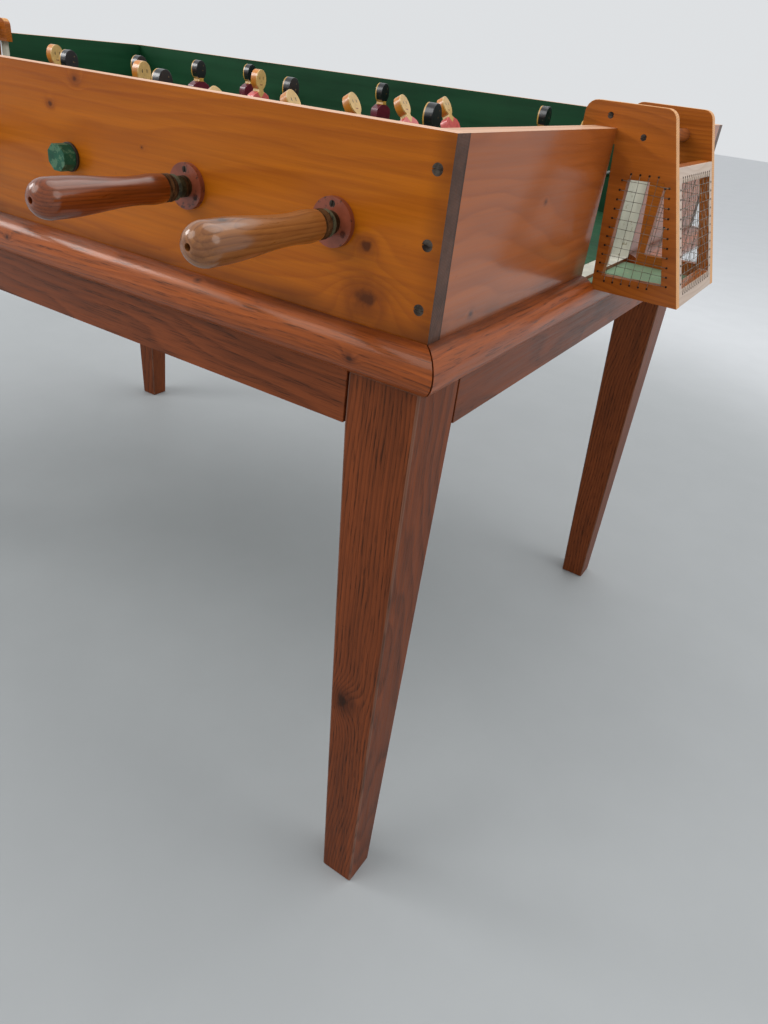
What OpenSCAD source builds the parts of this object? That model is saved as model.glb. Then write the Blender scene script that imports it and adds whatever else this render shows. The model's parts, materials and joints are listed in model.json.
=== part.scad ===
// Wooden table football table: a pine box on four tapered legs, crossed by
// eight steel rods of flat, cut-out wooden players.
// X runs along the pitch, Y crosses it from the near side to the far side and
// Z is up. The origin is on the floor, under the middle of the pitch.
// All sizes are in millimetres.

/* [Box] */
// Length of the box outside
box_l = 1320; // [1300:5:1380]
// Width of the box outside
box_w = 886; // [880:2:920]
// Height of the rim above the floor
rim_z = 860; // [850:2:880]
// Thickness of the long walls
side_t = 20; // [18:1:24]
// Thickness of the end walls
end_t = 24; // [20:1:26]
// Height of the playing surface above the floor
pitch_z = 704; // [702:1:706]
// Thickness of the pitch board
pitch_t = 12; // [9:1:15]

/* [Legs and apron] */
// Side of the square leg at the top
leg_top = 71.4; // [60:0.2:80]
// Side of the square leg at the floor
leg_foot = 42; // [36:1:56]
// Height of the legs and apron, where the box sits on them
seat_z = 666; // [660:1:670]
// Height of the apron boards
apron_h = 51; // [40:1:60]
// Thickness of the apron boards
apron_t = 26; // [24:1:32]
// Open joint between an apron board and a leg
apron_gap = 1.5; // [0:0.5:2]
// Height of the half-round moulding
bead_h = 42; // [36:1:46]
// How far the moulding stands out
bead_out = 19.5; // [16:0.5:20.5]

/* [Rods] */
// Distance between neighbouring rods
rod_pitch = 160.6; // [160:0.2:161]
// Height of the rod axes above the floor
rod_z = 783; // [782:1:785]
// Radius of the steel rods
rod_r = 4.5; // [4:0.5:5]
// Radial running clearance of rods in bushes
rod_gap = 0.05; // [0.02:0.01:0.1]
// Radius of the painted flanges
flange_r = 19.5; // [18:0.5:22]
// Thickness of the painted flanges
flange_t = 5; // [4:0.5:6]
// Length of the collar that stands out of a flange
collar_l = 6; // [4:1:8]
// Thickness of the loose washer on each rod
washer_t = 4; // [3:0.5:5]
// Length of the ferrule on each handle
ferrule_l = 11; // [9:1:14]
// Length of a handle beyond its ferrule
handle_l = 132; // [120:1:140]
// Largest radius of a handle
handle_r = 15.4; // [14:0.2:17]
// Thickness of the end stops
stop_t = 13.3; // [12:0.1:16]
// Width of the end stops across their flats
stop_w = 24; // [22:1:27]

/* [Players] */
// Thickness of the player boards
man_t = 14; // [12:1:16]
// Height of a player above the rod axis
man_up = 72; // [68:1:73]
// Depth of a player below the rod axis
man_down = 72; // [66:1:73]
// Distance between the two backs
backs_gap = 372; // [350:2:380]
// Distance between neighbours in the half-back line
halves_gap = 264; // [250:2:268]
// Distance between neighbours in the forward line
forwards_gap = 142; // [136:1:144]

/* [Goals] */
// Half the width of a goal
goal_hw = 90; // [84:1:96]
// Thickness of the goal cage's side boards
cage_t = 12; // [10:1:14]
// Distance from the box to the lower front edge of the cage
cage_out = 111; // [105:1:120]
// Distance from the box to the upper front edge of the cage
cage_top_out = 54; // [50:1:60]
// Height of the top of the cage above the floor
cage_top_z = 884; // [880:1:895]
// Height of the bottom of the cage above the floor
cage_z = 696; // [694:1:697]

/* [Hidden] */
$fn = 48;

// Line 0 is at the left end of the pitch and line 7 at the right end.
// The side on which a line's handle is: -1 near, 1 far
line_side = [1, 1, -1, 1, -1, 1, -1, -1];
// Players in a line
line_men = [1, 2, 5, 3, 3, 5, 2, 1];
// How far a line stands from the middle of the pitch at rest, towards +Y
line_shift = [-105, -164, 71, -66, 90, 71, 164, 105];
// Lean of a line at rest, in degrees about +Y
line_lean = [0, 0, 0, 0, 0, -31, 0, 0];
// Length of a line's handle beyond its ferrule
line_handle = [for (i = [0:7]) i == 6 ? handle_l - 7 : handle_l];

half_l = box_l / 2;
half_w = box_w / 2;
inner_hw = half_w - side_t;
inner_hl = half_l - end_t;
bore_r = rod_r + rod_gap;
sleeve_r = 8.5;
collar_r = 9;
rim_r = 13.5;
rim_t = 3;
// Gap left between faces that meet at the end of a rod's travel
face_gap = 0.3;
// Gap left in a butt joint, so that its boards stay separate pieces
joint_gap = 0.05;
washer_r = 11;
ferrule_r = 11.7;
tenon_r = 10.2;
ferrule_cap = 1;
rod_recess = 9;
stop_bite = 9;
// Distance from the middle of the pitch to a washer on a rod pushed right in
washer_w = half_w + flange_t + collar_l + face_gap;
flange_screw_r = 14;
bead_r = (bead_h * bead_h / 4 + bead_out * bead_out) / (2 * bead_out);
cage_slope = (cage_out - cage_top_out) / (cage_top_z - cage_z);
front_t = 12;
floor_t = 4;
corner_r = 12;
wire_t = 1.2;

function line_x(i) = (i - 3.5) * rod_pitch;
function line_gap(n) = n == 2 ? backs_gap : n == 3 ? halves_gap : forwards_gap;
// Full travel of a line of n players along its rod
function line_travel(n) = n == 1 ? 210 : n == 2 ? 340 : n == 3 ? 180 : 142;
// How far a line's handle is pulled out of its innermost place
function line_pull(i) = line_travel(line_men[i]) / 2 + line_side[i] * line_shift[i];
// Inner end of a line's ferrule, measured from the middle of the pitch
function handle_base(i) = washer_w + line_pull(i) + washer_t + face_gap;
// Outer face of the goal cage at height z
function cage_x(z) = half_l + cage_out - (z - cage_z) * cage_slope;
function arc(cx, cz, r, from, to, steps = 5) =
  [for (i = [0:steps]) let (a = from + (to - from) * i / steps) [cx + r * cos(a), cz + r * sin(a)]];
function mirrored(points) = [for (i = [len(points) - 1:-1:0]) [-points[i][0], points[i][1]]];

// ---- legs, apron and box ----

// Outline of a leg that stands at the origin and tapers on its inner side
module leg_side() {
  polygon([[0, 0], [leg_foot, 0], [leg_top, seat_z - apron_h], [leg_top, seat_z], [0, seat_z]]);
}

module leg(side_x, side_y) {
  color("sienna")
  scale([side_x, side_y, 1])
  translate([half_l, half_w, 0])
  intersection() {
    rotate([90, 0, 0]) mirror([1, 0, 0]) linear_extrude(leg_top) leg_side();
    rotate([90, 0, -90]) linear_extrude(leg_top) leg_side();
  }
}

module aprons() {
  long = box_l - 2 * (leg_top + apron_gap);
  short = box_w - 2 * (leg_top + apron_gap);
  color("saddlebrown")
  for (s = [-1, 1]) {
    translate([-long / 2, s < 0 ? -half_w : half_w - apron_t, seat_z - apron_h])
      cube([long, apron_t, apron_h]);
    translate([s < 0 ? -half_l : half_l - apron_t, -short / 2, seat_z - apron_h])
      cube([apron_t, short, apron_h]);
  }
}

// Half-round run along X with mitred ends, standing out towards +Y
module bead(length) {
  wide = bead_out + 1;
  intersection() {
    translate([-length / 2 - wide, bead_out - bead_r, bead_h / 2])
      rotate([0, 90, 0]) cylinder(r = bead_r, h = length + 2 * wide, $fn = 96);
    linear_extrude(bead_h)
      polygon([[-length / 2, 0], [length / 2, 0], [length / 2 + wide, wide], [-length / 2 - wide, wide]]);
  }
}

module mouldings() {
  color("peru")
  for (turn = [0, 180]) {
    rotate([0, 0, turn]) translate([0, half_w, seat_z]) bead(box_l - 2 * joint_gap);
    rotate([0, 0, turn]) difference() {
      translate([half_l, 0, seat_z]) rotate([0, 0, -90]) bead(box_w - 2 * joint_gap);
      translate([half_l, -goal_hw - 1, cage_z]) cube([bead_out + 1, 2 * goal_hw + 2, bead_h]);
    }
  }
}

module bearers() {
  bearer_t = 22;
  color("burlywood")
  for (x = [-400, 0, 400])
    translate([x - bearer_t / 2, -inner_hw, seat_z])
      cube([bearer_t, 2 * inner_hw, pitch_z - pitch_t - seat_z]);
}

module pitch() {
  color("darkgreen")
  translate([-inner_hl, -inner_hw, pitch_z - pitch_t])
    cube([2 * inner_hl, 2 * inner_hw, pitch_t]);
}

module side_wall(side_y) {
  color("peru")
  difference() {
    translate([-half_l, side_y < 0 ? -half_w : inner_hw, seat_z]) cube([box_l, side_t, rim_z - seat_z]);
    for (i = [0:7])
      translate([line_x(i), side_y * (half_w + 1), rod_z])
        rotate([side_y * 90, 0, 0]) cylinder(r = sleeve_r, h = side_t + 2);
    at_corner_screws(side_y) wood_screw(4.6, 2.2, 45);
    at_flange_screws(side_y) wood_screw(2.8, 1.4, 16);
  }
}

// Two boards beside the goal and a sill below it
module end_wall(side_x) {
  board_w = inner_hw - goal_hw;
  color("chocolate")
  difference() {
    for (s = [-1, 1])
      translate([side_x < 0 ? -half_l : inner_hl, s < 0 ? -inner_hw : goal_hw, seat_z])
        cube([end_t, board_w, rim_z - seat_z]);
    for (s = [-1, 1]) at_corner_screws(s) wood_screw(4.6, 2.2, 45);
  }
  color("chocolate")
  translate([side_x < 0 ? -half_l : inner_hl, joint_gap - goal_hw, seat_z])
    cube([end_t, 2 * (goal_hw - joint_gap), pitch_z - seat_z]);
}

// ---- bushes and screws ----

// Bush with a painted flange and a collar, on the handle side of a wall.
// It stands out along +Z from a wall face at z = 0.
module flanged_bush() {
  difference() {
    union() {
      translate([0, 0, -side_t]) cylinder(r = sleeve_r, h = side_t + 1);
      cylinder(r = flange_r, h = flange_t);
      cylinder(r = collar_r, h = flange_t + collar_l);
    }
    translate([0, 0, -side_t - 1]) cylinder(r = bore_r, h = side_t + flange_t + collar_l + 2);
    for (a = [90, 210, 330])
      rotate([0, 0, a]) translate([flange_screw_r, 0, flange_t]) wood_screw(2.8, 1.4, 16);
  }
}

// Plain bush with a low rim, on the stop side of a wall
module plain_bush() {
  difference() {
    union() {
      translate([0, 0, -side_t]) cylinder(r = sleeve_r, h = side_t + 1);
      cylinder(r = rim_r, h = rim_t);
    }
    translate([0, 0, -side_t - 1]) cylinder(r = bore_r, h = side_t + rim_t + 2);
  }
}

// Places children on the wall of one side, at the rod of line i, facing out
module on_wall(i, side_y) {
  translate([line_x(i), side_y * half_w, rod_z]) rotate([-side_y * 90, 0, 0]) children();
}

module bushes() {
  color("brown")
  for (i = [0:7]) {
    on_wall(i, line_side[i]) flanged_bush();
    on_wall(i, -line_side[i]) plain_bush();
  }
}

// Countersunk screw along -Z with the top of its head at z = 0
module wood_screw(head_r, shank_r, length) {
  cone_h = head_r - shank_r;
  translate([0, 0, -cone_h]) cylinder(r1 = shank_r, r2 = head_r, h = cone_h);
  translate([0, 0, -length]) cylinder(r = shank_r, h = length - cone_h);
}

module slotted_screw(head_r, shank_r, length) {
  difference() {
    wood_screw(head_r, shank_r, length);
    translate([-head_r - 1, -0.5, -0.8]) cube([2 * head_r + 2, 1, 2]);
  }
}

// Screws that hold the long walls to the end walls
module at_corner_screws(side_y) {
  for (x = [-1, 1], z = [733, 782, 835])
    translate([x * (half_l - end_t / 2), side_y * half_w, z]) rotate([-side_y * 90, 0, 0]) children();
}

// Screws that hold the flanges to one long wall
module at_flange_screws(side_y) {
  for (i = [0:7], a = [90, 210, 330])
    if (line_side[i] == side_y)
      on_wall(i, side_y) rotate([0, 0, a]) translate([flange_screw_r, 0, flange_t]) children();
}

// Screws that hold the bars of the right-hand goal
module at_goal_screws() {
  for (s = [-1, 1], bar = bar_places())
    translate([bar[0], s * goal_hw, bar[1]]) rotate([-s * 90, 0, 0]) children();
}

module screws() {
  color("dimgray") {
    for (s = [-1, 1]) at_corner_screws(s) slotted_screw(4.6, 2.2, 45);
    for (s = [-1, 1]) at_flange_screws(s) slotted_screw(2.8, 1.4, 16);
    for (side_x = [0, 1]) mirror([side_x, 0, 0]) at_goal_screws() slotted_screw(3.2, 1.6, 28);
  }
}

// ---- goal cages, drawn for the right-hand end ----

bar_r = 7.5;
function bar_places() = [[half_l - 10, cage_top_z - 13], [half_l + 29, cage_top_z - 29]];

// Outline of a cage's side board, with an ear that reaches into the goal
module cage_side() {
  lean = atan(cage_slope);
  ear_x = half_l - 38;
  ear_z = rim_z - 15;
  top_cx = half_l + cage_top_out - (corner_r - corner_r * sin(lean)) / cos(lean);
  difference() {
    polygon(concat(
      [[half_l + 14, cage_z], [half_l + cage_out, cage_z]],
      arc(top_cx, cage_top_z - corner_r, corner_r, lean, 90),
      arc(ear_x + corner_r, cage_top_z - corner_r, corner_r, 90, 180),
      [[ear_x, ear_z], [half_l + 1, ear_z]]));
    side_window();
  }
}

module side_window() {
  polygon([[half_l + 22, 713], [half_l + 88, 716], [half_l + 62, 816], [half_l + 24, 814]]);
}

// Places children, drawn in X and Z, in both side boards of a cage. They start
// at a depth below the outer face and are as thick as said, outwards.
module on_cage_sides(depth, thickness) {
  for (s = [-1, 1])
    translate([0, s > 0 ? goal_hw - depth + thickness : depth - goal_hw, 0])
      rotate([90, 0, 0]) linear_extrude(thickness) children();
}

front_hw = goal_hw - cage_t - joint_gap;
front_z = 832;
window_hw = 67;

// Slanting front board's section, between two depths behind its face
module front_section(near, far, z_low, z_high) {
  back = 1 / cos(atan(cage_slope));
  polygon([[cage_x(z_low) - near * back, z_low], [cage_x(z_high) - near * back, z_high],
           [cage_x(z_high) - far * back, z_high], [cage_x(z_low) - far * back, z_low]]);
}

module cage_front() {
  difference() {
    translate([0, front_hw, 0]) rotate([90, 0, 0])
      linear_extrude(2 * front_hw) front_section(0, front_t, cage_z, front_z);
    translate([0, window_hw, 0]) rotate([90, 0, 0])
      linear_extrude(2 * window_hw) front_section(-1, front_t + 1, 713, 817);
  }
}

module cage_floor() {
  foot_x = cage_x(cage_z) - (front_t + joint_gap) / cos(atan(cage_slope));
  translate([0, front_hw, 0]) rotate([90, 0, 0])
    linear_extrude(2 * front_hw)
      polygon([[half_l, cage_z], [foot_x, cage_z],
               [foot_x - floor_t * cage_slope, cage_z + floor_t], [half_l, cage_z + floor_t]]);
}

module goal_frame(side_x) {
  mirror([side_x < 0 ? 1 : 0, 0, 0]) {
    color("chocolate") difference() {
      on_cage_sides(cage_t, cage_t) cage_side();
      at_goal_screws() wood_screw(3.2, 1.6, 28);
    }
    color("wheat") cage_front();
    color("darkseagreen") cage_floor();
  }
}

module goal_bars(side_x) {
  mirror([side_x < 0 ? 1 : 0, 0, 0])
  color("sienna")
  difference() {
    for (bar = bar_places())
      translate([bar[0], front_hw, bar[1]]) rotate([90, 0, 0]) cylinder(r = bar_r, h = 2 * front_hw);
    at_goal_screws() wood_screw(3.2, 1.6, 28);
  }
}

// Wires at a spacing, clipped to an outline drawn as child
module wire_grid(x_low, x_high, z_low, z_high, cell) {
  intersection() {
    children();
    union() {
      for (x = [x_low:cell:x_high]) translate([x, z_low]) square([wire_t, z_high - z_low]);
      for (z = [z_low:cell:z_high]) translate([x_low - cell, z]) square([x_high - x_low + 2 * cell, wire_t]);
    }
  }
}

module goal_net(side_x) {
  cell = 9.6;
  window_l = (817 - 713) / cos(atan(cage_slope));
  depth = front_t / 2;
  mirror([side_x < 0 ? 1 : 0, 0, 0])
  color("gray") {
    on_cage_sides(depth, wire_t)
      wire_grid(half_l + 27, half_l + 88, 720, 816, cell) side_window();
    translate([cage_x(713) - depth / cos(atan(cage_slope)), 0, 713])
      rotate([0, -atan(cage_slope), 0])
      rotate([90, 0, 90]) linear_extrude(wire_t)
        wire_grid(5 - window_hw, window_hw, 6, window_l, cell)
          translate([-window_hw, 0]) square([2 * window_hw, window_l]);
  }
}

// ---- rods, drawn with the handle towards +Z ----

// Places children for line i: Z runs out from the pitch through the handle,
// measured from the middle of the pitch
module on_line(i) {
  translate([line_x(i), 0, rod_z]) rotate([-line_side[i] * 90, 0, 0]) children();
}

// Cap round the inner end of a handle
module ferrule() {
  difference() {
    cylinder(r = ferrule_r, h = ferrule_l);
    translate([0, 0, ferrule_cap]) cylinder(r = tenon_r, h = ferrule_l);
    translate([0, 0, -1]) cylinder(r = rod_r + joint_gap, h = ferrule_l);
  }
}

module rod(i) {
  n = line_men[i];
  pull = line_pull(i);
  top = handle_base(i) + ferrule_l + line_handle[i] - rod_recess;
  // Inner face of the end stop, below zero because it is on the other side
  stop_w0 = -(half_w + rim_t + face_gap) - (line_travel(n) - pull);
  color("silver")
  on_line(i) {
    translate([0, 0, stop_w0 - stop_bite]) cylinder(r = rod_r, h = top - stop_w0 + stop_bite);
    translate([0, 0, handle_base(i)]) ferrule();
  }
}

// Radius of a handle at t, from 0 at the ferrule to 1 at the outer end
function handle_radius(t) =
  let (neck = 11.6,
       swell = (handle_r - neck) * (1 - cos(180 * min(1, max(0, (t - 0.25) / 0.53)))) / 2,
       bulb = 0.9 * exp(-pow((t - 0.08) / 0.08, 2)),
       round_off = t < 0.88 ? 1 : sqrt(1 - pow((t - 0.88) / 0.13, 2)))
  (neck + swell + bulb) * round_off;

module handle(i) {
  wood_l = line_handle[i];
  steps = 24;
  color("sienna")
  on_line(i) translate([0, 0, handle_base(i)]) difference() {
    union() {
      translate([0, 0, ferrule_cap]) cylinder(r = tenon_r, h = ferrule_l);
      translate([0, 0, ferrule_l]) rotate_extrude()
        polygon(concat([[0, 0]], [for (k = [0:steps]) [handle_radius(k / steps), wood_l * k / steps]],
                       [[0, wood_l]]));
    }
    cylinder(r = rod_r, h = ferrule_l + wood_l + 1);
  }
}

module washer(i) {
  color("black")
  on_line(i) translate([0, 0, washer_w + line_pull(i)]) difference() {
    cylinder(r = washer_r, h = washer_t);
    translate([0, 0, -1]) cylinder(r = bore_r, h = washer_t + 2);
  }
}

module stop(i) {
  wide = stop_w / cos(22.5) / 2;
  inner = half_w + rim_t + face_gap + line_travel(line_men[i]) - line_pull(i);
  color("seagreen")
  on_line(i) difference() {
    translate([0, 0, -inner - stop_t]) rotate([0, 0, 22.5]) cylinder(r = wide, h = stop_t, $fn = 8);
    translate([0, 0, -inner - stop_bite]) cylinder(r = rod_r, h = stop_bite + 1);
  }
}

// ---- players ----

// One half of a player's outline, from the crown down to the boots
function man_half() =
  let (head_a = 12.5, head_b = 16, head_z = man_up - 16)
  concat([for (a = [90:-12:-66]) [head_a * cos(a), head_z + head_b * sin(a)]],
         [[6, 38], [13, 35], [20, 31], [22.5, 25], [22, 10], [18, 3], [15, -6], [15.5, -18],
          [13.5, -34], [11, -50], [10, -62], [12.5, -66], [12.5, -man_down]]);

// Player facing +X, with the rod axis along Y through the origin
module man() {
  difference() {
    translate([-man_t / 2, 0, 0]) rotate([90, 0, 90])
      linear_extrude(man_t) polygon(concat(man_half(), mirrored(man_half())));
    translate([0, 30, 0]) rotate([90, 0, 0]) cylinder(r = rod_r, h = 60);
  }
}

module players(i) {
  n = line_men[i];
  color(line_side[i] < 0 ? "maroon" : "indianred")
  for (k = [0:n - 1])
    translate([line_x(i), line_shift[i] + (k - (n - 1) / 2) * line_gap(n), rod_z])
      rotate([0, line_lean[i], 0]) man();
}

leg(-1, -1);  // leg_near_left
leg(1, -1);  // leg_near_right
leg(-1, 1);  // leg_far_left
leg(1, 1);  // leg_far_right
aprons();
mouldings();
bearers();
pitch();
side_wall(-1);  // side_wall_near
side_wall(1);  // side_wall_far
end_wall(-1);  // end_wall_left
end_wall(1);  // end_wall_right
bushes();
screws();
goal_frame(-1);  // goal_frame_left
goal_frame(1);  // goal_frame_right
goal_bars(-1);  // goal_bars_left
goal_bars(1);  // goal_bars_right
goal_net(-1);  // goal_net_left
goal_net(1);  // goal_net_right
rod(0);  // rod_far_goalkeeper
rod(1);  // rod_far_backs
rod(2);  // rod_near_forwards
rod(3);  // rod_far_halves
rod(4);  // rod_near_halves
rod(5);  // rod_far_forwards
rod(6);  // rod_near_backs
rod(7);  // rod_near_goalkeeper
handle(0);  // handle_far_goalkeeper
handle(1);  // handle_far_backs
handle(2);  // handle_near_forwards
handle(3);  // handle_far_halves
handle(4);  // handle_near_halves
handle(5);  // handle_far_forwards
handle(6);  // handle_near_backs
handle(7);  // handle_near_goalkeeper
players(0);  // players_far_goalkeeper
players(1);  // players_far_backs
players(2);  // players_near_forwards
players(3);  // players_far_halves
players(4);  // players_near_halves
players(5);  // players_far_forwards
players(6);  // players_near_backs
players(7);  // players_near_goalkeeper
stop(0);  // stop_far_goalkeeper
stop(1);  // stop_far_backs
stop(2);  // stop_near_forwards
stop(3);  // stop_far_halves
stop(4);  // stop_near_halves
stop(5);  // stop_far_forwards
stop(6);  // stop_near_backs
stop(7);  // stop_near_goalkeeper
washer(0);  // washer_far_goalkeeper
washer(1);  // washer_far_backs
washer(2);  // washer_near_forwards
washer(3);  // washer_far_halves
washer(4);  // washer_near_halves
washer(5);  // washer_far_forwards
washer(6);  // washer_near_backs
washer(7);  // washer_near_goalkeeper
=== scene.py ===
"""Looks of an old wooden football table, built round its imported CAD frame.

All lengths are in metres in the CAD frame: X runs along the pitch, Y across it
from the near side to the far side, and Z up from the floor.
"""

import json
import math

import bmesh
import bpy
from mathutils import Matrix, Vector


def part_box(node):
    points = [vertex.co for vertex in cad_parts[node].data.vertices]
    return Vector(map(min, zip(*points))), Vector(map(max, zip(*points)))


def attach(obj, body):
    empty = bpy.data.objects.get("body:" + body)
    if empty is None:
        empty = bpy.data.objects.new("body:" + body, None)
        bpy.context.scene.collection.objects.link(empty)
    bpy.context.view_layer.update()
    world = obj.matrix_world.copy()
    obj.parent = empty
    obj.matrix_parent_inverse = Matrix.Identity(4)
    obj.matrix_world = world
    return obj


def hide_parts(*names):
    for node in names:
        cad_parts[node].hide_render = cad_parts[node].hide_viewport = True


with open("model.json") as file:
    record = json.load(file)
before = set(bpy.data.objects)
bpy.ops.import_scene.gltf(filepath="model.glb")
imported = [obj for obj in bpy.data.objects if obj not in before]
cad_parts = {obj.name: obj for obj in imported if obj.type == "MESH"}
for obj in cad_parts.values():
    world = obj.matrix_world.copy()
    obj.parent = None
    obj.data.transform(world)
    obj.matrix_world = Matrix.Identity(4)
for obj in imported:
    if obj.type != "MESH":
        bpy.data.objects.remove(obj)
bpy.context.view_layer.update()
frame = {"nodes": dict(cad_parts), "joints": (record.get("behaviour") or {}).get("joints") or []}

MM = 0.001
# The eight lines of men, from left to right; near or far says which side the handle is on
LINES = ["far_goalkeeper", "far_backs", "near_forwards", "far_halves",
         "near_halves", "far_forwards", "near_backs", "near_goalkeeper"]

# Sizes and places that the frame gives
WALL_LOW, WALL_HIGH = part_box("side_wall_near")
PITCH_LOW, PITCH_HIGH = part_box("pitch")
HALF_L = WALL_HIGH.x
HALF_W = -WALL_LOW.y
RIM_Z = WALL_HIGH.z
INNER_HW = -WALL_HIGH.y
INNER_HL = PITCH_HIGH.x
BEAD_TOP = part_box("mouldings")[1].z
ROD_Z = next(j["pos_m"][2] for j in frame["joints"] if j["type"] == "hinge")


# ---------------------------------------------------------------- materials

class Graph:
    """A material and short ways to add nodes to it."""

    def __init__(self, name, roughness=0.5, coat=0.0, coat_roughness=0.2, metallic=0.0, specular=0.5):
        self.material = bpy.data.materials.new(name)
        self.material.use_nodes = True
        self.tree = self.material.node_tree
        self.shader = self.tree.nodes["Principled BSDF"]
        self.point = self.node("ShaderNodeTexCoord").outputs["Object"]
        self.set("Roughness", roughness)
        self.set("Coat Weight", coat)
        self.set("Coat Roughness", coat_roughness)
        self.set("Metallic", metallic)
        self.set("Specular IOR Level", specular)

    def node(self, kind, **settings):
        made = self.tree.nodes.new(kind)
        for key, value in settings.items():
            setattr(made, key, value)
        return made

    def feed(self, socket, value):
        if isinstance(value, bpy.types.NodeSocket):
            self.tree.links.new(value, socket)
        else:
            socket.default_value = value

    def set(self, name, value):
        self.feed(self.shader.inputs[name], value)

    def math(self, operation, *values):
        made = self.node("ShaderNodeMath", operation=operation)
        for i, value in enumerate(values):
            self.feed(made.inputs[i], value)
        return made.outputs[0]

    def vector(self, operation, *values):
        made = self.node("ShaderNodeVectorMath", operation=operation)
        for i, value in enumerate(values):
            self.feed(made.inputs[i], value)
        return made.outputs["Value" if operation == "LENGTH" else "Vector"]

    def split(self, vector=None):
        made = self.node("ShaderNodeSeparateXYZ")
        self.feed(made.inputs[0], self.point if vector is None else vector)
        return made.outputs

    def join(self, x, y, z):
        made = self.node("ShaderNodeCombineXYZ")
        for i, value in enumerate((x, y, z)):
            self.feed(made.inputs[i], value)
        return made.outputs[0]

    def noise(self, vector, scale=1.0, detail=2.0, roughness=0.5, output="Fac"):
        made = self.node("ShaderNodeTexNoise")
        self.feed(made.inputs["Vector"], vector)
        made.inputs["Scale"].default_value = scale
        made.inputs["Detail"].default_value = detail
        made.inputs["Roughness"].default_value = roughness
        return made.outputs[output]

    def stretched(self, scale, shift=(0, 0, 0)):
        """The point scaled by a different amount along each axis."""
        moved = self.vector("ADD", self.point, shift)
        return self.vector("MULTIPLY", moved, scale)

    def band(self, value, low, high, to_low=0.0, to_high=1.0):
        """A smooth step from to_low, at low, to to_high, at high."""
        made = self.node("ShaderNodeMapRange", interpolation_type="SMOOTHSTEP")
        for key, setting in (("Value", value), ("From Min", low), ("From Max", high),
                             ("To Min", to_low), ("To Max", to_high)):
            self.feed(made.inputs[key], setting)
        return made.outputs["Result"]

    def ramp(self, value, stops):
        """Grey ramp with (place, brightness) stops."""
        made = self.node("ShaderNodeValToRGB")
        ramp = made.color_ramp
        while len(ramp.elements) < len(stops):
            ramp.elements.new(0.5)
        for element, (place, grey) in zip(ramp.elements, stops):
            element.position = place
            element.color = (grey, grey, grey, 1)
        self.feed(made.inputs[0], value)
        return made.outputs[0]

    def mix(self, amount, a, b, blend="MIX"):
        """Colour a, with colour b laid over it by amount; the numbers are the node's colour sockets."""
        made = self.node("ShaderNodeMix", data_type="RGBA", blend_type=blend)
        for key, value in ((0, amount), (6, a), (7, b)):
            self.feed(made.inputs[key], (*value, 1) if isinstance(value, tuple) else value)
        return made.outputs[2]

    def shaded(self, colour, shade):
        """A colour made lighter or darker by a grey value round 1."""
        return self.mix(1.0, colour, self.join(shade, shade, shade), "MULTIPLY")

    def bump(self, height, depth, strength=1.0):
        made = self.node("ShaderNodeBump")
        made.inputs["Strength"].default_value = strength
        made.inputs["Distance"].default_value = depth
        self.feed(made.inputs["Height"], height)
        self.set("Normal", made.outputs[0])


def srgb(red, green, blue):
    """An sRGB colour, 0 to 255, as the linear colour that shaders take."""
    def linear(value):
        value /= 255
        return value / 12.92 if value <= 0.04045 else ((value + 0.055) / 1.055) ** 2.4
    return (linear(red), linear(green), linear(blue))


def darker(colour, share):
    return tuple(part * share for part in colour)


VARNISH_TINT = (1.0, 0.72, 0.42, 1.0)
GRAIN_AXES = {"X": (0, 1, 2), "Y": (1, 0, 2), "Z": (2, 0, 1)}


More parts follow.
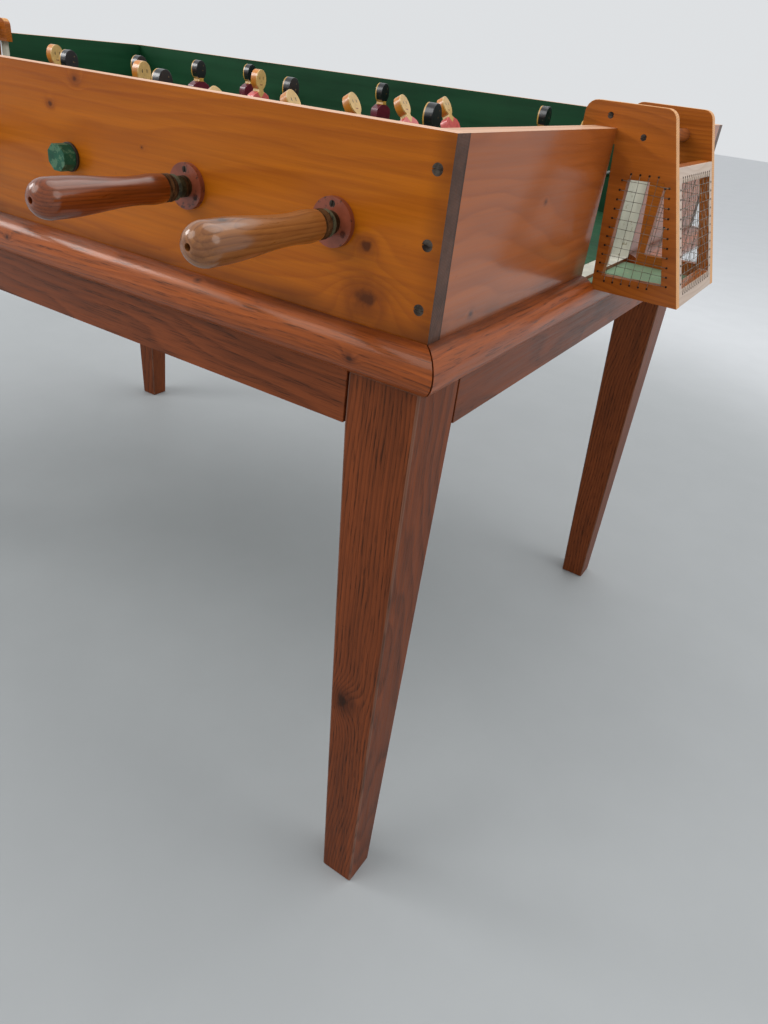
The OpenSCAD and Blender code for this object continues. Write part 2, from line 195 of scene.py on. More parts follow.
class Wood(Graph):
    """A board under warm varnish; its patterns are long along the grain and fine across it."""

    def __init__(self, name, grain, seed, roughness, coat):
        super().__init__(name, roughness=roughness, coat=coat, coat_roughness=0.16, specular=0.22)
        self.set("Specular Tint", VARNISH_TINT)
        self.axes = self.split()
        self.along, *self.sides = GRAIN_AXES[grain]
        self.seed = seed

    def across(self, along_scale, across_scale, offset=0.0):
        """The point, scaled along the grain and across it."""
        scale = [across_scale] * 3
        scale[self.along] = along_scale
        return self.stretched(tuple(scale), (self.seed + offset, self.seed * 0.7, self.seed * 1.3 - offset))

    def from_pith(self, pith, wobble):
        """How far a point is from the wandering pith, and a drift that makes the rings uneven."""
        noise = self.noise(self.across(1.6, 5.0), detail=3, output="Color")
        drift_a, drift_b, drift_c = self.split(self.vector("SUBTRACT", noise, (0.5, 0.5, 0.5)))
        side_a, side_b = (self.axes[side] for side in self.sides)
        off_a = self.math("SUBTRACT", self.math("MULTIPLY_ADD", drift_a, wobble * 2, side_a), pith[0])
        off_b = self.math("SUBTRACT", self.math("MULTIPLY_ADD", drift_b, wobble, side_b), pith[1])
        squares = self.math("ADD", self.math("POWER", off_a, 2.0), self.math("POWER", off_b, 2.0))
        return self.math("SQRT", squares), drift_c

    def round_knots(self, away, knots):
        """Bends the rings round the knots. Gives the bent distance, the dark hearts and the stains."""
        ragged_noise = self.noise(self.point, scale=110, detail=4)
        squeeze = [1.0, 1.0, 1.0]
        squeeze[self.along] = 0.75
        heart, halo = 0.0, 0.0
        for x, y, z, radius in knots:
            offset = self.vector("MULTIPLY", self.vector("SUBTRACT", self.point, (x, y, z)), tuple(squeeze))
            gap = self.math("DIVIDE", self.vector("LENGTH", offset), radius)
            fall = self.math("POWER", self.math("DIVIDE", gap, 2.6), 2.0)
            bend = self.math("EXPONENT", self.math("MULTIPLY", fall, -1.0))
            away = self.math("MULTIPLY_ADD", bend, radius * 2.0, away)
            ragged = self.math("ADD", self.math("MULTIPLY", ragged_noise, 1.6), gap)
            heart = self.math("MAXIMUM", heart, self.band(ragged, 1.9, 1.2))
            halo = self.math("MAXIMUM", halo, self.band(ragged, 3.6, 1.6))
        return away, heart, halo

    def late_wood(self, away, drift, ring):
        """The dark part of each year's ring: it comes on slowly and ends at once."""
        turns = self.math("ADD", self.math("DIVIDE", away, ring), self.math("MULTIPLY", drift, 1.2))
        return self.ramp(self.math("FRACT", turns), [(0.0, 0.0), (0.35, 0.15), (0.85, 1.0), (1.0, 0.0)])

    def mottled(self, pale, dark, late, contrast, mottle):
        """The colour of the rings, with broad clouds and narrow streaks of the dark tone."""
        streak = self.noise(self.across(3.5, 90.0, 5.0), detail=4, roughness=0.6)
        broad = self.noise(self.across(1.3, 13.0, 3.0), detail=3)
        colour = self.mix(self.math("MULTIPLY", late, contrast), pale, dark)
        colour = self.mix(self.band(broad, 0.35, 0.7, 0.0, mottle), colour, dark)
        return self.mix(self.band(streak, 0.45, 0.68, 0.0, mottle), colour, dark)

    def pored(self, colour, dark, late, pores):
        """Short dark pores, most of them in the late wood."""
        fleck = self.noise(self.across(36.0, 800.0, 9.0), detail=3, roughness=0.6)
        where = self.math("MULTIPLY_ADD", late, 0.7, 0.3)
        dashes = self.math("MULTIPLY", self.band(fleck, 0.52, 0.64), where)
        return self.mix(self.math("MULTIPLY", dashes, pores), colour, darker(dark, 0.3))

    def darkened_and_scuffed(self, colour, dark, grime):
        """Patchy bands that darken the wood towards an edge, and small scuffs all over."""
        patch = self.noise(self.stretched((9, 14, 14), (self.seed, 0, 0)), detail=4, roughness=0.6)
        for axis, start, end, amount in grime:
            near = self.band(self.axes["XYZ".index(axis)], start, end)
            darkening = self.math("MULTIPLY", near, self.band(patch, 0.3, 0.7, amount * 0.4, amount))
            colour = self.mix(darkening, colour, darker(dark, 0.3))
        marks = self.noise(self.stretched((60, 60, 90), (self.seed, 2, 1)), detail=5, roughness=0.7)
        scuffs = self.math("MULTIPLY", self.band(marks, 0.66, 0.74), 0.25)
        return self.mix(scuffs, colour, darker(dark, 0.35))


def wood(name, pale, dark, grain="X", pith=(0.06, -0.09), ring=0.005, contrast=0.6, wobble=0.05,
         seed=0.0, pores=0.0, fibre=0.12, mottle=0.3, knots=(), grime=(), roughness=0.42, coat=0.35):
    """Sawn wood: rings round a wandering pith, fibres, pores and knots.

    pith is where the heart lies on the two axes across the grain, and ring a year's growth.
    knots are (x, y, z, radius); the bands are (axis, from, to, amount) and darken the wood towards an edge.
    """
    g = Wood(name, grain, seed, roughness, coat)
    away, drift = g.from_pith(pith, wobble)
    if knots:
        away, heart, halo = g.round_knots(away, knots)
    late = g.late_wood(away, drift, ring)
    fine = g.noise(g.across(9.0, 380.0), detail=5, roughness=0.7)
    colour = g.mottled(pale, dark, late, contrast, mottle)
    colour = g.shaded(colour, g.band(fine, 0.25, 0.75, 1 - fibre, 1 + fibre))
    if pores:
        colour = g.pored(colour, dark, late, pores)
    if knots:
        colour = g.mix(g.math("MULTIPLY", halo, 0.55), colour, darker(dark, 0.7))
        colour = g.mix(g.math("MULTIPLY", heart, 0.85), colour, darker(dark, 0.28))
    g.set("Base Color", g.darkened_and_scuffed(colour, dark, grime))
    g.set("Roughness", g.band(fine, 0.2, 0.8, roughness - 0.06, roughness + 0.14))
    relief = g.math("ADD", g.math("MULTIPLY", fine, 0.6), g.math("MULTIPLY", late, 0.4))
    g.bump(relief, 0.35 * MM, 0.5)
    return g.material


def paint(name, colour, worn=None, wear=0.25, roughness=0.45, stroke=(8, 60, 60), seed=0.0, mottle=0.18,
          coat=0.0):
    """Old brushed paint: streaks, uneven tone and small worn patches that show what lies below."""
    g = Graph(name, roughness=roughness, coat=coat, coat_roughness=0.25, specular=0.25)
    streak = g.noise(g.stretched(stroke, (seed, seed, seed)), detail=5, roughness=0.6)
    tone = g.noise(g.stretched((11, 11, 11), (seed, 1, 2)), detail=3)
    streaks = g.band(streak, 0.25, 0.75, 1 - mottle, 1 + mottle)
    shown = g.shaded(colour, g.math("ADD", streaks, g.band(tone, 0.3, 0.7, -0.1, 0.1)))
    chips = g.noise(g.stretched((140, 140, 140), (seed, 5, 1)), detail=6, roughness=0.7)
    chipped = g.band(chips, 0.72 - wear * 0.2, 0.74 - wear * 0.2, 0.0, 0.8)
    g.set("Base Color", g.mix(chipped, shown, worn or darker(colour, 0.45)))
    g.set("Roughness", g.band(streak, 0.2, 0.8, roughness - 0.08, roughness + 0.15))
    g.bump(streak, 0.3 * MM, 0.5)
    return g.material


def metal(name, colour, tarnish, roughness=0.38, amount=0.5, seed=0.0, grooves=90):
    """Turned metal with tarnish and faint turning marks."""
    g = Graph(name, roughness=roughness, metallic=1.0)
    cloud = g.noise(g.stretched((grooves, grooves * 4, grooves), (seed, 0, seed)), detail=5, roughness=0.65)
    g.set("Base Color", g.mix(g.band(cloud, 0.35, 0.65, 0.0, amount), colour, tarnish))
    g.set("Roughness", g.band(cloud, 0.3, 0.7, roughness - 0.08, roughness + 0.2))
    g.bump(cloud, 0.15 * MM, 0.6)
    return g.material


PINE = srgb(172, 93, 6)
PINE_DARK = srgb(122, 50, 4)
OAK = srgb(124, 60, 28)
OAK_DARK = srgb(60, 24, 12)
BEAD = srgb(158, 78, 28)
BEAD_DARK = srgb(92, 36, 14)

GREEN = srgb(12, 62, 34)
GREEN_WORN = srgb(60, 60, 40)


# A band that darkens the wood towards the top of the moulding, over the given height above it.
def grime_above_moulding(height, amount):
    return ("Z", BEAD_TOP + height, BEAD_TOP, amount)


def seam(edge, inwards, width, amount):
    """Dirt along an edge of a board's end, from a width inside it up to the edge."""
    return ("Y", edge + inwards * width, edge, amount)


def make_pine(name, **settings):
    return wood(name, PINE, PINE_DARK, ring=0.0055, wobble=0.03, contrast=0.3, fibre=0.1, **settings)


# The walls darken towards the moulding; the near one also darkens towards its right end.
pine_near = make_pine("pine_near", pith=(-0.30, 0.79), mottle=0.3, seed=0.3, coat=0.16,
                      knots=[(0.594, -HALF_W, 0.771, 0.0045), (0.598, -HALF_W, 0.731, 0.009),
                             (0.257, -HALF_W, 0.852, 0.0034), (0.217, -HALF_W, 0.827, 0.0026),
                             (0.343, -HALF_W, 0.806, 0.0014), (-0.31, -HALF_W, 0.80, 0.008)],
                      grime=[grime_above_moulding(0.022, 0.7), ("X", HALF_L - 0.022, HALF_L, 0.6)])
pine_far = make_pine("pine_far", pith=(0.30, 0.76), mottle=0.35, seed=4.1, coat=0.45,
                     knots=[(-0.42, HALF_W, 0.80, 0.009), (0.12, HALF_W, 0.74, 0.006)],
                     grime=[grime_above_moulding(0.022, 0.7)])
pine_end = wood("pine_end", srgb(156, 80, 26), srgb(100, 42, 12), grain="Y", ring=0.006, wobble=0.04,
                contrast=0.28, pith=(0.2, 0.9), seed=2.2, fibre=0.09, coat=0.6, mottle=0.22,
                knots=[(HALF_L, -0.372, 0.719, 0.0022), (HALF_L, -0.25, 0.80, 0.002)],
                grime=[grime_above_moulding(0.03, 0.6)])
end_grain = wood("end_grain", srgb(112, 74, 58), srgb(64, 38, 30), grain="X", ring=0.0022, wobble=0.02,
                 contrast=0.22, pith=(-0.46, 0.70), seed=6.1, roughness=0.5, coat=0.2, mottle=0.5,
                 grime=[seam(-INNER_HW - 1 * MM, -1, 3 * MM, 0.7), seam(-HALF_W, 1, 3 * MM, 0.5),
                        seam(INNER_HW + 1 * MM, 1, 3 * MM, 0.7), seam(HALF_W, -1, 3 * MM, 0.5)])
# The rims' top faces: bare worn wood, made paler still by a painted highlight where the top faces the
# light.
worn_rim_highlight = wood("worn_rim_highlight", srgb(224, 186, 158), srgb(176, 120, 84), ring=0.006, contrast=0.5, seed=1.7,
                roughness=0.55, coat=0.1, mottle=0.5)
worn_rim_highlight_end = wood("worn_rim_highlight_end", srgb(220, 182, 154), srgb(170, 116, 80), grain="Y", ring=0.006,
                    contrast=0.5, seed=5.7, roughness=0.55, coat=0.1, mottle=0.5)
green_long = paint("green_long", GREEN, worn=GREEN_WORN, wear=0.15, stroke=(3, 60, 60))
green_end = paint("green_end", GREEN, worn=GREEN_WORN, wear=0.15, stroke=(60, 3, 60), seed=3)
green_pitch = paint("green_pitch", srgb(34, 78, 50), worn=srgb(84, 98, 64), wear=0.5, stroke=(2, 40, 40),
                    seed=7, roughness=0.55)
white_post = paint("white_post", srgb(205, 203, 188), worn=srgb(150, 140, 110), wear=0.5,
                   stroke=(40, 40, 8))
sage = paint("sage", srgb(112, 140, 110), worn=srgb(150, 150, 120), wear=0.6, stroke=(40, 5, 40), seed=2)


# ------------------------------------------------------------ mesh helpers

FLAT_ANGLE = math.radians(0.8)
EDGE_ANGLE = math.radians(28)
CREASE_ANGLE = math.radians(40)


def solids(node):
    """The separate solids of a CAD node, each as a clean bmesh, ordered by the middle of its box."""
    whole = bmesh.new()
    whole.from_mesh(frame["nodes"][node].data)
    bmesh.ops.remove_doubles(whole, verts=whole.verts, dist=1e-6)
    left = set(whole.verts)
    made = []
    while left:
        reached = {left.pop()}
        unsearched = list(reached)
        while unsearched:
            for edge in unsearched.pop().link_edges:
                for vert in edge.verts:
                    if vert in left:
                        left.discard(vert)
                        reached.add(vert)
                        unsearched.append(vert)
        solid = bmesh.new()
        copy = {v: solid.verts.new(v.co) for v in sorted(reached, key=lambda v: v.index)}
        faces = {f for v in reached for f in v.link_faces}
        for face in sorted(faces, key=lambda f: f.index):
            solid.faces.new([copy[v] for v in face.verts])
        made.append(solid)
    whole.free()
    return sorted(made, key=lambda bm: tuple(round(c, 4) for c in middle(bm)))


def middle(bm):
    """The middle of a bmesh's box."""
    low = Vector(min(v.co[i] for v in bm.verts) for i in range(3))
    high = Vector(max(v.co[i] for v in bm.verts) for i in range(3))
    return (low + high) / 2


def soften(bm, width, segments=2):
    """Rounds a solid's sharp edges; the rounded faces take material slot 1."""
    bmesh.ops.dissolve_limit(bm, angle_limit=FLAT_ANGLE, verts=bm.verts, edges=bm.edges)
    sharp = [e for e in bm.edges
             if len(e.link_faces) == 2 and e.calc_face_angle(0) > EDGE_ANGLE]
    bmesh.ops.bevel(bm, geom=sharp, offset=width, offset_type="OFFSET", segments=segments,
                    profile=0.5, affect="EDGES", clamp_overlap=True, material=1)
    return bm


def finished_mesh(name, bm):
    """Turns a bmesh into a smoothly shaded mesh and frees it."""
    mesh = bpy.data.meshes.new(name)
    bmesh.ops.recalc_face_normals(bm, faces=bm.faces)
    bm.to_mesh(mesh)
    bm.free()
    mesh.shade_smooth()
    mesh.set_sharp_from_angle(angle=CREASE_ANGLE)
    return mesh


def show(name, mesh, body, replaces, place=Matrix()):
    """Puts a mesh in the scene, riding a body and standing for a CAD node."""
    made = bpy.data.objects.new(name, mesh)
    bpy.context.scene.collection.objects.link(made)
    made.modifiers.new("weighted", "WEIGHTED_NORMAL").keep_sharp = True
    made.matrix_world = place
    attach(made, body)
    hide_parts(replaces)


def piece(name, bm, body, materials, replaces, rule=None):
    """Shows a bmesh. rule(centre, normal, slot) picks each face's material."""
    mesh = finished_mesh(name, bm)
    for material in materials:
        mesh.materials.append(material)
    for polygon in mesh.polygons:
        if rule:
            polygon.material_index = rule(polygon.center, polygon.normal, polygon.material_index)
        else:
            polygon.material_index = min(polygon.material_index, len(materials) - 1)
    show(name, mesh, body, replaces)


def lathe(profile, steps=40):
    """A turned solid about Z from (radius, height) points; it closes on the axis where radius is 0."""
    bm = bmesh.new()
    rings = []
    for radius, height in profile:
        if radius < 1e-6:
            rings.append([bm.verts.new((0, 0, height))])
        else:
            rings.append([bm.verts.new((radius * math.cos(a), radius * math.sin(a), height))
                          for a in (2 * math.pi * k / steps for k in range(steps))])
    for low, high in zip(rings, rings[1:]):
        for k in range(steps):
            n = (k + 1) % steps
            if len(low) == 1 and len(high) == 1:
                continue
            if len(low) == 1:
                bm.faces.new((low[0], high[n], high[k]))
            elif len(high) == 1:
                bm.faces.new((low[k], low[n], high[0]))
            else:
                bm.faces.new((low[k], low[n], high[n], high[k]))
    return bm


# ------------------------------------------------------------- the structure

def runs_along(bm):
    """The axis along which an apron or a moulding lies: the long ones are in the middle of X."""
    return "X" if abs(middle(bm).x) < 0.1 else "Y"


def make_legs():
    for name in ("leg_near_left", "leg_near_right", "leg_far_left", "leg_far_right"):
        seed = 1.3 * sum(map(ord, name)) % 9
        knots = [(0.6205, -HALF_W, 0.2915, 0.008)] if name == "leg_near_right" else ()
        face = wood(name + "_oak", OAK, OAK_DARK, grain="Z", ring=0.0042, wobble=0.04, seed=seed,
                    pith=(-0.9, -0.62), pores=0.85, contrast=0.45, fibre=0.22, coat=0.1, roughness=0.5,
                    knots=knots)
        # The rounded edges take a paler, greyer wood: worn edges, with a painted highlight where the edge
        # catches the light.
        edge = wood(name + "_edge", srgb(126, 84, 66), srgb(70, 44, 36), grain="Z", ring=0.004, seed=seed,
                    pores=0.5, coat=0.1, roughness=0.45)
        piece(name, soften(solids(name)[0], 2.2 * MM), "table", [face, edge], name)


def make_aprons():
    for k, bm in enumerate(solids("aprons")):
        face = wood(f"apron_oak_{k}", OAK, OAK_DARK, grain=runs_along(bm), ring=0.007, wobble=0.05,
                    seed=k * 1.9, pith=(-0.36, 0.60), pores=0.7, contrast=0.45, fibre=0.2, coat=0.12)
        piece(f"apron_{k}", soften(bm, 1.0 * MM), "table", [face], "aprons")


def open_mitres(bm, grain):
    """Draws the mitred ends of a moulding in a little, so that the joints show as dark lines."""
    run = "XY".index(grain)
    for vert in bm.verts:
        past_end = abs(vert.co.x) - HALF_L
        past_side = abs(vert.co.y) - HALF_W
        if abs(past_end - past_side) < 0.5 * MM:
            vert.co[run] -= math.copysign(0.8 * MM, vert.co[run])


def make_mouldings():
    for k, bm in enumerate(solids("mouldings")):
        grain = runs_along(bm)
        open_mitres(bm, grain)
        # The moulding is darker within 6 mm of its upper edge.
        face = wood(f"bead_oak_{k}", BEAD, BEAD_DARK, grain=grain, ring=0.0038, wobble=0.03, seed=k * 2.3,
                    pith=(-0.30, 0.55), pores=0.8, contrast=0.4, fibre=0.2, coat=0.3, roughness=0.36,
                    knots=[(0.147, -0.4625, 0.690, 0.0022), (0.60, -0.4625, 0.684, 0.003),
                           (0.42, -0.452, 0.705, 0.0018)],
                    grime=[("Z", BEAD_TOP - 0.006, BEAD_TOP, 0.8)])
        piece(f"moulding_{k}", soften(bm, 0.6 * MM), "table", [face], "mouldings")


# Material slots of a wall's faces
OUTSIDE, INSIDE, RIM, CUT = range(4)
GOAL_REGION = 0.15


def on_rim(centre, normal):
    return normal.z > 0.5 and centre.z > RIM_Z - 4 * MM


def side_wall_face(centre, normal, slot):
    """The slot of a long wall's face; the wall's ends show their end grain."""
    if on_rim(centre, normal):
        return RIM
    if abs(normal.x) > 0.5 and abs(centre.x) > HALF_L - 2 * MM:
        return CUT
    return INSIDE if abs(centre.y) < INNER_HW + 1 * MM and centre.z > PITCH_LOW.z else OUTSIDE


def end_wall_face(centre, normal, slot):
    """The slot of an end wall's face; the goal opening is cut in white."""
    if on_rim(centre, normal):
        return RIM
    if abs(normal.y) > 0.5 and abs(centre.y) < GOAL_REGION:
        return CUT
    if centre.z > PITCH_LOW.z and normal.z > 0.5:
        return CUT
    return INSIDE if abs(centre.x) < INNER_HL + 1 * MM else OUTSIDE


def make_walls():
    for name, outside in (("side_wall_near", pine_near), ("side_wall_far", pine_far)):
        piece(name, soften(solids(name)[0], 1.5 * MM), "table", [outside, green_long, worn_rim_highlight, end_grain],
              name, side_wall_face)
    for name in ("end_wall_left", "end_wall_right"):
        for k, bm in enumerate(solids(name)):
            piece(f"{name}_{k}", soften(bm, 1.5 * MM), "table",
                  [pine_end, green_end, worn_rim_highlight_end, white_post], name, end_wall_face)


def make_pitch():
    board = soften(solids("pitch")[0], 0.5 * MM)
    piece("pitch_board", board, "table", [green_pitch], "pitch")
    for k, bm in enumerate(solids("bearers")):
        bare = wood(f"bearer_{k}", srgb(196, 160, 112), srgb(150, 104, 62), grain="Y", seed=k, coat=0,
                    roughness=0.7)
        piece(f"bearer_{k}", soften(bm, 1 * MM), "table", [bare], "bearers")


# ------------------------------------------------------- bushes and fasteners

BUSH_EYE = 9.4 * MM


def line_side(line):
    """The side on which a line's handle is: -1 near, 1 far."""
    low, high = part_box("handle_" + line)
    return 1 if low.y + high.y > 0 else -1


def line_x(line):
    """Where a line's rod is along the pitch."""
    low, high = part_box("washer_" + line)
    return (low.x + high.x) / 2


def on_line(line):
    """Turns +Z into the direction from the pitch to a line's handle, along its rod."""
    turn = Matrix.Rotation(-line_side(line) * math.pi / 2, 4, "X")
    return Matrix.Translation((line_x(line), 0, ROD_Z)) @ turn


def reach(node, line):
    """Where a node starts and ends along its rod, towards the handle."""
    low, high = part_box(node + "_" + line)
    ends = (low.y * line_side(line), high.y * line_side(line))
    return min(ends), max(ends)


def make_bushes():
    painted = paint("flange_paint", srgb(124, 60, 38), worn=srgb(50, 26, 18), wear=0.7, coat=0.4,
                    roughness=0.4, stroke=(50, 50, 50), mottle=0.3)
    bronze = metal("bush_bronze", srgb(112, 92, 58), srgb(40, 32, 22), amount=0.9)
    # Dark paint for the bushes under the stop nuts; it also stands in for the shade the nuts cast.
    dark_paint_and_shade = paint("bush_dark", srgb(52, 40, 30), wear=0.8, roughness=0.5)
    centres = [(line_x(line), line_side(line)) for line in LINES]

    def bush_face(centre, normal, slot):
        """Bronze round the rod, then paint on the handle's side, and on the other side a dark paint that
        also stands in for the shade round the stop nut.
        """
        away, side = min((math.hypot(centre.x - x, centre.z - ROD_Z), side) for x, side in centres)
        if away < BUSH_EYE:
            return 1
        return 0 if centre.y * side > 0 else 2

    for k, bm in enumerate(solids("bushes")):
        piece(f"bush_{k}", soften(bm, 0.7 * MM, segments=3), "table", [painted, bronze, dark_paint_and_shade], "bushes",
              bush_face)


def make_screws():
    steel = metal("screw_head", srgb(92, 84, 76), srgb(40, 32, 28), roughness=0.45, amount=0.9, seed=3)
    for k, bm in enumerate(solids("screws")):
        piece(f"screw_{k}", soften(bm, 0.15 * MM, segments=1), "table", [steel], "screws")


# ----------------------------------------------------------------- the rods

ROD_R = 4.5 * MM
ROD_CHAMFER = 0.5 * MM
HANDLE_NECK = 11.6 * MM
HANDLE_SWELL = 15.4 * MM
HANDLE_BULB = 0.9 * MM
HANDLE_HOLE_R = 2.3 * MM
HANDLE_HOLE_DEPTH = 9 * MM
FERRULE_R = 11.7 * MM
FERRULE_BORE_R = 10.2 * MM
FERRULE_PAST_HANDLE = 1 * MM
FERRULE_OVER_HANDLE = 10 * MM
WASHER_R = 10.9 * MM
WASHER_HOLE_R = 4.55 * MM


def handle_radius(t):
    """Radius of a handle at t, from 0 at the ferrule to 1 at its end."""
    swell_start, swell_run = 0.25, 0.53
    bulb_place, bulb_run = 0.08, 0.08
    end_start, end_run = 0.88, 0.13
    rise = min(1, max(0, (t - swell_start) / swell_run))
    swell = (HANDLE_SWELL - HANDLE_NECK) * (1 - math.cos(math.pi * rise)) / 2
    bulb = HANDLE_BULB * math.exp(-((t - bulb_place) / bulb_run) ** 2)
    end = 1 if t < end_start else math.sqrt(max(0, 1 - ((t - end_start) / end_run) ** 2))
    return (HANDLE_NECK + swell + bulb) * end


def handle_wood(line, k):
    """The near goalkeeper's handle is a paler wood than the others."""
    if line == "near_goalkeeper":
        return wood("handle_near_goalkeeper_wood", srgb(146, 92, 46), srgb(92, 46, 16), grain="Y",
                    ring=0.0036, wobble=0.05, pith=(0.573, 0.79), contrast=0.5, seed=8.4, pores=0.25,
                    mottle=0.45, coat=0.9, roughness=0.3, knots=[(0.565, -0.575, 0.797, 0.0035)])
    return wood(f"handle_{line}_wood", srgb(134, 60, 16), srgb(74, 28, 6), grain="Y", ring=0.0028,
                wobble=0.02, pith=(line_x(line) + 0.02, 0.80), contrast=0.5, seed=2.9 * k, pores=0.4,
                mottle=0.7, coat=0.9, roughness=0.3)


def make_handle(line, k):
    base, end = reach("handle", line)
    start = base + FERRULE_OVER_HANDLE
    steps = 56
    profile = [(0, start), (HANDLE_NECK - 1 * MM, start)]
    for step in range(steps + 1):
        t = step / steps
        if handle_radius(t) > HANDLE_HOLE_R + 0.4 * MM:
            profile.append((handle_radius(t), start + (end - start) * t))
    hole_end = end - HANDLE_HOLE_DEPTH
    profile += [(HANDLE_HOLE_R + 0.3 * MM, end), (HANDLE_HOLE_R, end - 0.6 * MM), (HANDLE_HOLE_R, hole_end),
                (0, hole_end)]
    bm = lathe(profile, 56)
    bm.transform(on_line(line))
    piece("grip_" + line, bm, line + "_line", [handle_wood(line, k)], "handle_" + line)


def ribs(radius, low, high, count, deep):
    """Profile points of rounded ribs between two places on a turned piece."""
    steps = 8 * count
    return [(radius - deep * (0.5 - 0.5 * math.cos(2 * math.pi * count * k / steps + math.pi)),
             low + (high - low) * k / steps) for k in range(steps + 1)]


def make_bar(line, k):
    steel = metal("rod_steel_" + line, srgb(176, 174, 170), srgb(110, 100, 88), roughness=0.25, amount=0.4,
                  seed=k, grooves=40)
    low, high = reach("rod", line)
    shoulder = ROD_R - ROD_CHAMFER
    bar = lathe([(0, low), (shoulder, low), (ROD_R, low + ROD_CHAMFER), (ROD_R, high - ROD_CHAMFER),
                 (shoulder, high), (0, high)], 32)
    bar.transform(on_line(line))
    piece("rod_bar_" + line, bar, line + "_line", [steel], "rod_" + line)


def make_ferrule(line, k):
    brass = metal("ferrule_" + line, srgb(92, 60, 36), srgb(28, 16, 10), roughness=0.32, amount=0.8, seed=k)
    base = reach("handle", line)[0]
    start = base - FERRULE_PAST_HANDLE
    end = base + FERRULE_OVER_HANDLE
    profile = [(ROD_R, start), (FERRULE_R - 2.2 * MM, start), (FERRULE_R - 1.2 * MM, start + 0.4 * MM)]
    profile += ribs(FERRULE_R, start + 1.2 * MM, end - 1.2 * MM, 3, 1.1 * MM)
    profile += [(FERRULE_R - 0.5 * MM, end), (FERRULE_BORE_R, end), (FERRULE_BORE_R, base), (ROD_R, base),
                (ROD_R, start)]
    cap = lathe(profile, 40)
    cap.transform(on_line(line))
    piece("ferrule_" + line, cap, line + "_line", [brass], "rod_" + line)


def make_washer(line, k):
    leather = paint("washer_leather_" + line, srgb(84, 76, 52), worn=srgb(34, 30, 20), wear=0.8, seed=k,
                    roughness=0.7, stroke=(90, 400, 90))
    low, high = reach("washer", line)
    shoulder = WASHER_R - 1.4 * MM
    profile = [(WASHER_HOLE_R, low), (shoulder, low)]
    profile += ribs(WASHER_R, low + 0.2 * MM, high - 0.2 * MM, 2, 1.3 * MM)
    profile += [(shoulder, high), (WASHER_HOLE_R, high), (WASHER_HOLE_R, low)]
    bm = lathe(profile, 40)
    bm.transform(on_line(line))
    piece("buffer_" + line, bm, line + "_slider", [leather], "washer_" + line)


def make_stop(line, k):
    green = paint("stop_paint_" + line, srgb(28, 80, 58), worn=srgb(78, 112, 84), wear=1.0, seed=k * 3.7,
                  roughness=0.35, stroke=(70, 70, 70), mottle=0.35)
    piece("stop_nut_" + line, soften(solids("stop_" + line)[0], 1.1 * MM, segments=3), line + "_line",
          [green], "stop_" + line)


def make_lines():
    for k, line in enumerate(LINES):
        make_handle(line, k)
        make_bar(line, k)
        make_ferrule(line, k)
        make_washer(line, k)
        make_stop(line, k)


# ---------------------------------------------------------------- the players

# Heights on a figure, from the rod, and places out from its middle line, all in mm
BOOT_TOP = -62
SOCK_TOP = -46
SHORTS_LOW = -34
SHIRT_LOW = -9
ARMPIT = 24
ARM_LINE_LOW = -8
ARM_OUT = 13.2
HAND_LOW, HAND_HIGH = -12, 1
LEG_GAP = 0.45
NECK_LOW = 37.5
NAPE = 43
EYE_LOW, EYE_HIGH = 56.5, 61
EYE_IN, EYE_OUT = 3.6, 5.1
NOSE_LOW, NOSE_HIGH, NOSE_OUT = 52, 56, 0.5
MOUTH_LOW, MOUTH_HIGH, MOUTH_OUT = 47.6, 49, 3
CROWN_REACH = 71.5
# Places ahead of the middle of a figure's thickness, in mm
FACE_AHEAD = 5.5
HAIR_AHEAD = 4.8
# Low enough to take in the middle line itself
MIDDLE = -1
BRUSH_BLUR = 0.25 * MM

BLACK_PAINT = srgb(28, 20, 18)
BOOT_PAINT = srgb(34, 26, 24)
LIP_PAINT = srgb(120, 34, 26)
BARE_WOOD = srgb(176, 132, 82)
MAROON = srgb(96, 22, 40)
PINK = srgb(206, 92, 88)


class Kit(Graph):
    """Hand-painted kit on a figure that faces +X, laid out from the rod at the origin."""

    def __init__(self, name):
        super().__init__(name, roughness=0.32, coat=0.5, coat_roughness=0.2)
        self.ahead, sideways, up = self.split()
        shake = self.math("SUBTRACT", self.noise(self.point, scale=260, detail=2), 0.5)
        unsteady = self.math("MULTIPLY", shake, 2.2 * MM)
        self.high = self.math("ADD", up, unsteady)
        self.out = self.math("ADD", self.math("ABSOLUTE", sideways), unsteady)
        self.shown = BOOT_PAINT

    def above(self, value, level):
        return self.band(value, level * MM - BRUSH_BLUR, level * MM + BRUSH_BLUR)

    def between(self, value, low, top):
        below_top = self.math("SUBTRACT", 1.0, self.above(value, top))
        return self.math("MULTIPLY", self.above(value, low), below_top)

    def lay(self, colour, *masks):
        """Paints a colour where all of the masks are."""
        amount = masks[0]
        for mask in masks[1:]:
            amount = self.math("MULTIPLY", amount, mask)
        self.shown = self.mix(amount, self.shown, colour)


def paint_clothes(g, shirt, shorts, socks, skin):
    for level, colour in ((BOOT_TOP, socks), (SOCK_TOP, skin), (SHORTS_LOW, shorts), (SHIRT_LOW, shirt)):
        g.lay(colour, g.above(g.high, level))
    g.lay(skin, g.above(g.out, ARM_OUT), g.between(g.high, HAND_LOW, HAND_HIGH))
    arm_line = g.between(g.out, ARM_OUT, ARM_OUT + 0.7)
    g.lay(darker(shirt, 0.3), arm_line, g.between(g.high, ARM_LINE_LOW, ARMPIT))
    g.lay(BLACK_PAINT, g.between(g.out, MIDDLE, LEG_GAP), g.between(g.high, BOOT_TOP, SHIRT_LOW))


